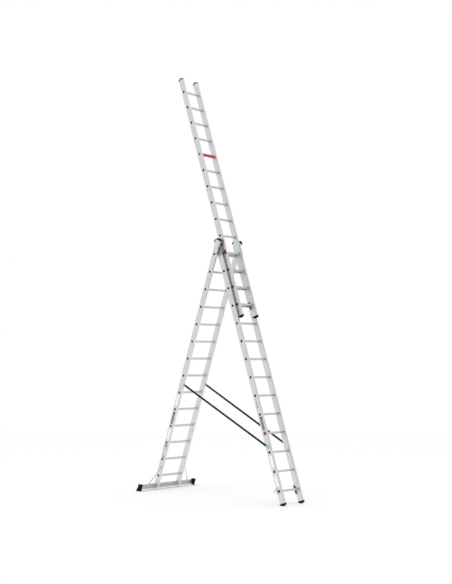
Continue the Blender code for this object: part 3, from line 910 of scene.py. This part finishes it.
def make_guide(side_name, side):
    """Dark moulded guide on a middle stile's head, and the bright strip that wraps the top stile."""
    node = f"top_guide_{side_name}"
    low, high = middle.box(node)
    inside = min(abs(low.x), abs(high.x))
    slide_face = top.outer + PLUG_RISE + GUIDE_GAP
    head = middle.rung_z(RUNG_COUNT)
    waist = (middle.to_local @ top.matrix.translation).y + 0.012
    base_front = middle.half_depth + 0.0003
    outer_wall = slide_face + GUIDE_WALL
    block = [
        (middle.outer, base_front), (middle.outer, base_front + GUIDE_WALL),
        (outer_wall, base_front + GUIDE_WALL + 0.003), (outer_wall, waist),
        (slide_face, waist), (slide_face, base_front),
    ]
    outline = [(side * x, y) for x, y in block]
    seam = head + GUIDE_TOP - GUIDE_HEAD
    bm = bmesh.new()
    add_prism(bm, outline, "Z", head + GUIDE_BOTTOM, seam - 0.0004)
    piece(f"{node}_block", bm, middle, GREY_LOOK, (node,), bevel=0.0012, smooth=25)
    lip = base_front + GUIDE_LIP
    bm = bmesh.new()
    add_prism(bm, [(x, min(y, lip)) for x, y in outline], "Z", seam, head + GUIDE_TOP)
    piece(f"{node}_head", bm, middle, DARK_LOOK, bevel=0.0015, smooth=25)

    edge, back = waist + 0.0004, high.y - GUIDE_STRIP
    wrap = [
        (slide_face, edge), (slide_face + GUIDE_STRIP, edge), (slide_face + GUIDE_STRIP, high.y),
        (inside, high.y), (inside, back), (slide_face, back),
    ]
    bm = bmesh.new()
    add_prism(bm, [(side * x, y) for x, y in wrap], "Z", head + GUIDE_STRIP_BOTTOM, head + GUIDE_TOP)
    piece(f"{node}_strip", bm, middle, STILE_LOOK, bevel=0.0005, smooth=25)
    half_width, depth, height = GUIDE_STOP
    middle_x = side * (slide_face + 0.003)
    xs, ys = (middle_x - half_width, middle_x + half_width), (high.y + 0.0004, high.y + depth)
    bm = bmesh.new()
    add_plate(bm, "Z", head, head + height, xs, ys, 0.004)
    # The stop shares the ledge's painted highlight: a pale colour that glows as if lit.
    piece(f"{node}_stop", bm, middle, LEDGE_HIGHLIGHT_LOOK, bevel=0.0012)


def make_catch(side_name, side):
    """Red catch block on the guide, beside the top section's stile."""
    centre = (CATCH_CENTRE[0], middle.rung_z(RUNG_COUNT) + CATCH_CENTRE[1])
    face = top.outer + PLUG_RISE + GUIDE_GAP
    sections = []
    for x, shrink in CATCH_STEPS:
        size = [length - 2 * shrink for length in CATCH_SIZE]
        outline = rounded_rectangle(centre, size, CATCH_CORNER - shrink)
        sections.append((side * (face + x), outline))
    bm = bmesh.new()
    add_loft(bm, sections, "X")
    piece(f"catch_{side_name}", bm, middle, RED_LOOK, bevel=0.0010, smooth=25)


def make_hinge_plate(side_name, side):
    """Dark steel plate between the heads of a middle and a lower stile, on the fold axis."""
    head = middle.rung_z(RUNG_COUNT)
    base = middle.outer + 0.0002
    face = side * (base + HINGE_PLATE)
    bm = bmesh.new()
    zs = [head + z for z in HINGE_SPAN]
    add_plate(bm, "X", side * base, face, HINGE_DEPTH, zs, HINGE_CORNER)
    for y, z, *sizes in HINGE_RIVETS:
        add_button(bm, (face, y, head + z), "X", side, *sizes)
    piece(f"hinge_plate_{side_name}", bm, middle, STEEL_LOOK, smooth=30)
    axis = middle.to_local @ fold_axis()
    bm = bmesh.new()
    add_prism(bm, circle((axis.y, axis.z), HINGE_BOSS, 32), "X", face, side * (lower.inner - 0.0004))
    piece(f"hinge_boss_{side_name}", bm, middle, STEEL_LOOK, bevel=0.0006)
    axis = lower.to_local @ fold_axis()
    bm = bmesh.new()
    add_washer_bolt(bm, (side * lower.outer, axis.y, axis.z), "X", side, HINGE_NUT)
    piece(f"hinge_nut_{side_name}", bm, lower, HOOK_LOOK, smooth=25)


def make_latch(section):
    """Two moulded levers on a steel rod, behind the bottom rung."""
    node = f"{section.name}_latch"
    low, high = section.box(node)
    outside = section.inner - LATCH_GAP
    inside = outside - LATCH_THICKNESS
    outline = [(LATCH_AXIS + y, z) for y, z in LATCH_LEVER]
    bm = bmesh.new()
    for side in (1, -1):
        add_prism(bm, outline, "X", side * inside, side * outside)
        hub_end = side * (inside - LATCH_HUB_LENGTH)
        add_prism(bm, circle((LATCH_AXIS, 0), LATCH_HUB), "X", hub_end, side * inside)
    piece(f"{node}_levers", bm, section, RED_LOOK, (node,), 0.0014, 30, node)
    # Pale pink plates between the levers: a painted highlight of the red plastic.
    bm = bmesh.new()
    for side in (1, -1):
        add_plate(bm, "X", side * (inside - 0.0030), side * (outside - 0.0004), *LATCH_HIGHLIGHT_PLATE, 0.006)
    piece(f"{node}_grips", bm, section, RED_HIGHLIGHT_LOOK, bevel=0.0010, smooth=30, body=node)
    bm = bmesh.new()
    add_prism(bm, circle((LATCH_AXIS, 0), LATCH_ROD_RADIUS, 20), "X", low.x, high.x)
    for side in (1, -1):
        for coil in range(LATCH_COILS):
            x = side * (inside - 0.012 - LATCH_COIL_PITCH * coil)
            add_prism(bm, circle((LATCH_AXIS, 0), LATCH_COIL, 20), "X", x, x - side * LATCH_COIL_WIRE)
    piece(f"{node}_rod", bm, section, HOOK_LOOK, smooth=30, body=node)


def make_hooks(section):
    """Flat hooks riveted to the outer faces beside the bottom rung, opening downwards."""
    for side_name, side in SIDES:
        base = section.outer + 0.0004
        face = side * (base + HOOK_THICKNESS)
        bm = bmesh.new()
        add_prism(bm, HOOK_OUTLINE, "X", side * base, face)
        piece(f"{section.name}_hook_{side_name}", bm, section, HOOK_LOOK, bevel=0.0007, smooth=25)
        bm = bmesh.new()
        for y, z in HOOK_RIVETS:
            add_button(bm, (face, y, z), "X", side, 0.0042, 0.0003, 0.0008)
        piece(f"{section.name}_hook_rivets_{side_name}", bm, section, HOOK_LOOK, smooth=30)


def make_red_rung():
    """Bright cover over one rung of the top section, and the plug that matches it."""
    z = top.rung_z(RED_RUNG)
    end = top.inner - 0.0004
    outer = [(y, z + dz) for y, dz in rung_outline(RUNG_COLLAR + 0.0016)]
    inner = [(y, z + dz) for y, dz in rung_outline(RUNG_COLLAR + 0.0002)]
    bm = bmesh.new()
    add_tube(bm, outer, inner, "X", -end, end)
    piece("red_rung_cover", bm, top, RED_COVER_LOOK, smooth=28)
    for side_name, side in SIDES:
        bm = bmesh.new()
        add_plug(bm, side * top.outer, side, z)
        piece(f"red_rung_plug_{side_name}", bm, top, RED_LOOK)


def make_painted_shade_strip(side_name, side):
    """Thin dark strip on the outer face of a top stile, where it runs beside the middle one: painted
    shade of the narrow gap between the two stiles.
    """
    face = top.outer + LABEL_GAP
    zs = (top.bottom, PAINTED_SHADE_STRIP_TOP)
    bm = bmesh.new()
    add_plate(bm, "X", side * face, side * (face + PAINTED_SHADE_STRIP), PAINTED_SHADE_STRIP_WIDTH, zs, 0.003)
    # The grey plastic here is painted shade, not a real strip on the stile.
    piece(f"slide_strip_{side_name}", bm, top, GREY_LOOK, smooth=30)


def make_fittings():
    for side_name, side in SIDES:
        make_guide(side_name, side)
        make_catch(side_name, side)
        make_hinge_plate(side_name, side)
        make_painted_shade_strip(side_name, side)
    for section in (middle, top):
        make_latch(section)
        make_hooks(section)
    make_red_rung()
    shaft = frame["nodes"]["hinge_shaft"]
    shaft.data.materials.clear()
    shaft.data.materials.append(STEEL_LOOK)


make_fittings()


# --- Straps ---


def make_strap(side_name):
    """Flat webbing between the lower and middle sections, straight from end to end."""
    node = f"spreader_strap_{side_name}"
    points = [v.co for v in frame["nodes"][node].data.vertices]
    near_y, far_y = min(p.y for p in points) + STRAP_WIDTH, max(p.y for p in points) - STRAP_WIDTH
    near, far = [p for p in points if p.y < near_y], [p for p in points if p.y > far_y]
    start = sum(near, Vector()) / len(near)
    end = sum(far, Vector()) / len(far)
    along = (end - start).normalized()
    edge = along.cross(Vector((1, 0, 0))).normalized()
    across = edge.cross(along)
    length = (end - start).length
    size, corner = (STRAP_THICKNESS, STRAP_WIDTH), STRAP_THICKNESS * 0.45
    outline = rounded_rectangle((0, 0), size, corner, steps=3)
    bm = bmesh.new()
    layer = bm.loops.layers.uv.new("unrolled")
    rings, unrolled = [], {}
    for step in range(STRAP_STEPS + 1):
        run = length * step / STRAP_STEPS
        ring = [bm.verts.new(start + along * run + across * a + edge * b) for a, b in outline]
        unrolled.update((vert, (run, b)) for vert, (a, b) in zip(ring, outline))
        rings.append(ring)
    close_rings(bm, rings)
    for face in bm.faces:
        for loop in face.loops:
            loop[layer].uv = unrolled[loop.vert]
    obj = shaded_object(f"{node}_webbing", bm, WEBBING_LOOK, 50)
    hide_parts(node)
    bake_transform(obj)
    return start, end


def make_strap_fittings(side_name, side, start, end):
    """Riveted plate under the strap on the lower stile, bolted clamp plate on the middle one."""
    x, _, z = lower.to_local @ start
    base = lower.half_depth
    bm = bmesh.new()
    xs, zs = (x - 0.012, x + 0.012), (z - 0.022, z + 0.022)
    add_plate(bm, "Y", base + 0.0002, base + 0.0016, xs, zs, 0.006)
    ys, zs = (base + 0.001, base + 0.022), (z - 0.0135, z + 0.0135)
    for dx in (-0.0042, 0.0032):
        add_plate(bm, "X", x + dx, x + dx + 0.0010, ys, zs, 0.005)
    for dz in (-0.017, 0.017):
        add_button(bm, (base + 0.0016, x, z + dz), "Y", 1, 0.0034, 0.0004, 0.0008, 16)
    piece(f"strap_bracket_{side_name}", bm, lower, HOOK_LOOK, smooth=30)

    a, b = middle.to_local @ start, middle.to_local @ end
    along = (b - a).normalized()
    face = side * (middle.outer + STRAP_THICKNESS + 0.0018)
    centre = b - along * 0.012
    head, tail = centre - along * 0.030, centre + along * 0.026
    head.x = tail.x = face + side * 0.0007
    bm = bmesh.new()
    add_flat_bar(bm, head, tail, (0, 1, 0.5), STRAP_WIDTH + 0.003, 0.0010, 0.0004)
    for share in (-0.016, 0.014):
        spot = centre + along * share
        add_button(bm, (face + side * 0.0012, spot.y, spot.z), "X", side, 0.0052, 0.0003, 0.0007)
    piece(f"strap_clamp_{side_name}", bm, middle, BRACE_LOOK, smooth=30)


def make_straps():
    for side_name, side in SIDES:
        start, end = make_strap(side_name)
        make_strap_fittings(side_name, side, start, end)


make_straps()


# --- Blank labels ---


def make_label(name, section, look, ys, zs, radius=0.003, layer=0):
    """Blank sticker on the outer face of the section's left stile, or on a sticker there."""
    face = section.outer + LABEL_GAP + layer * (LABEL_THICKNESS + LABEL_GAP)
    bm = bmesh.new()
    add_plate(bm, "X", face, face + LABEL_THICKNESS, ys, zs, radius)
    piece(f"{section.name}_label_{name}", bm, section, look, smooth=30)


STRIP_LABEL = (-0.022, 0.022)
DARK_LABEL = (-0.020, 0.024)
DARK_END_LABEL = (-0.018, 0.022)

# name, look, Y range, (pitches up, height past them) of the lower and upper edge, then options
LOWER_LABELS = (
    ("yellow", YELLOW_LABEL, (-0.036, 0.036), (5, 0.030), (5, 0.108)),
    ("upper_white", GLOWING_WHITE_LABEL, STRIP_LABEL, (4, 0.062), (5, -0.046)),
    ("dark_strip", GREY_LABEL, DARK_LABEL, (3, 0.054), (4, -0.072)),
    ("dark_strip_head", INK_LABEL, DARK_END_LABEL, (4, -0.0715), (4, -0.042), 0.004),
    ("dark_strip_foot", GREY_LABEL, DARK_END_LABEL, (3, 0.036), (3, 0.0535), 0.004),
    ("lower_white", GLOWING_WHITE_LABEL, STRIP_LABEL, (2, 0.060), (3, -0.048)),
    ("blue", BLUE_LABEL, (-0.044, 0.044), (2, -0.114), (2, -0.020)),
    ("blue_dot", BLUE_INK_LABEL, (-0.008, 0.020), (2, -0.068), (2, -0.038), 0.010, 1),
    ("pale_green", PALE_GREEN_LABEL, (-0.040, 0.040), (1, 0.022), (1, 0.116)),
    ("green", GREEN_LABEL, (-0.010, 0.012), (1, 0.034), (1, 0.062), 0.008, 1),
    ("grey", GREY_LABEL, (-0.006, 0.006), (0, 0.150), (0, 0.164)),
)
MIDDLE_LABELS = (
    ("dark_strip", GREY_LABEL, DARK_LABEL, (3, 0.062), (4, -0.066)),
    ("dark_strip_head", INK_LABEL, DARK_END_LABEL, (4, -0.0655), (4, -0.036), 0.004),
    ("dark_strip_foot", GREY_LABEL, DARK_END_LABEL, (3, 0.044), (3, 0.0615), 0.004),
    ("grey", GREY_LABEL, (-0.019, -0.006), (4, 0.092), (4, 0.190)),
    ("red_square", RED_LABEL, (-0.020, 0.030), (3, -0.026), (3, 0.022)),
    ("upper_white", GLOWING_WHITE_LABEL, STRIP_LABEL, (1, 0.060), (2, -0.048)),
    ("lower_white", GLOWING_WHITE_LABEL, STRIP_LABEL, (0, 0.068), (1, -0.056)),
)


def make_labels():
    for section, labels in ((lower, LOWER_LABELS), (middle, MIDDLE_LABELS)):
        for name, look, ys, low, high, *options in labels:
            zs = [pitches * section.pitch + past for pitches, past in (low, high)]
            make_label(name, section, look, ys, zs, *options)


make_labels()


# --- Camera, light and floor ---

STUDIO_LEVEL = 0.90
STUDIO_SIDES = (
    ((0.71, 0.70, 0.0), 0.35, 0.95, -0.56),
    ((0.0, 0.0, 1.0), 0.45, 0.95, 0.25),
)
CAMERA_OFFSET = Vector((10.6663, 10.5108, -1.6645))
CAMERA_YAW = 3.9328
CAMERA_PITCH = 0.0725
CAMERA_LENS = 60.64
SOFTBOX_PLACE = Vector((1.5, 1.0, 11.0))
SOFTBOX_TARGET = Vector((0, 0, 2.5))
SOFTBOX_SIZE = 7
SOFTBOX_POWER = 60


def aim(obj, place, direction):
    obj.location = place
    obj.rotation_mode = "QUATERNION"
    obj.rotation_quaternion = direction.to_track_quat("-Z", "Y")


def make_camera():
    """Stands the camera off the fold axis, turned to see both open sides."""
    data = bpy.data.cameras.new("camera")
    data.lens = CAMERA_LENS
    data.sensor_width = 36.0
    camera = add_object("camera", data)
    forward = Vector((
        math.sin(CAMERA_YAW) * math.cos(CAMERA_PITCH),
        math.cos(CAMERA_YAW) * math.cos(CAMERA_PITCH),
        math.sin(CAMERA_PITCH),
    ))
    aim(camera, fold_axis() + CAMERA_OFFSET, forward)
    bpy.context.scene.camera = camera


def make_floor():
    bm = bmesh.new()
    bmesh.ops.create_circle(bm, cap_ends=True, radius=FLOOR_FADE[1] + 1.0, segments=96)
    mesh = bpy.data.meshes.new("floor")
    bm.to_mesh(mesh)
    bm.free()
    mesh.materials.append(studio_floor("studio_floor"))
    floor = add_object("floor", mesh)
    floor.location.z = cad_low.z - 0.0005


def make_world():
    """White backdrop; what the metal mirrors is a softer studio, dim on one side."""
    world = bpy.data.worlds.new("studio")
    world.use_nodes = True
    bpy.context.scene.world = world
    tree = world.node_tree
    background = tree.nodes["Background"]
    background.inputs["Strength"].default_value = 1.0

    def link(kind, inputs=(), **settings):
        return add_node(tree, kind, inputs, settings).outputs

    direction = link("ShaderNodeTexCoord")["Generated"]
    level = STUDIO_LEVEL
    for towards, start, full, change in STUDIO_SIDES:
        axis = Vector(towards).normalized()
        facing = link("ShaderNodeVectorMath", {0: direction, 1: axis}, operation="DOT_PRODUCT")["Value"]
        inputs = {"Value": facing, "From Min": start, "From Max": full, "To Min": 0.0, "To Max": change}
        step = link("ShaderNodeMapRange", inputs, interpolation_type="SMOOTHSTEP")["Result"]
        level = link("ShaderNodeMath", {0: level, 1: step}, operation="ADD")["Value"]
    seen = link("ShaderNodeLightPath")["Is Camera Ray"]
    shown = link("ShaderNodeMath", {0: level, 1: seen}, operation="MAXIMUM")["Value"]
    tree.links.new(shown, background.inputs["Color"])


def make_softbox():
    """Large soft light over the ladder."""
    data = bpy.data.lights.new("overhead_softbox", "AREA")
    data.shape = "RECTANGLE"
    data.size = data.size_y = SOFTBOX_SIZE
    data.energy = SOFTBOX_POWER
    aim(add_object("overhead_softbox", data), SOFTBOX_PLACE, SOFTBOX_TARGET - SOFTBOX_PLACE)


make_camera()
make_floor()
make_world()
make_softbox()
bpy.context.scene.view_settings.view_transform = "Standard"
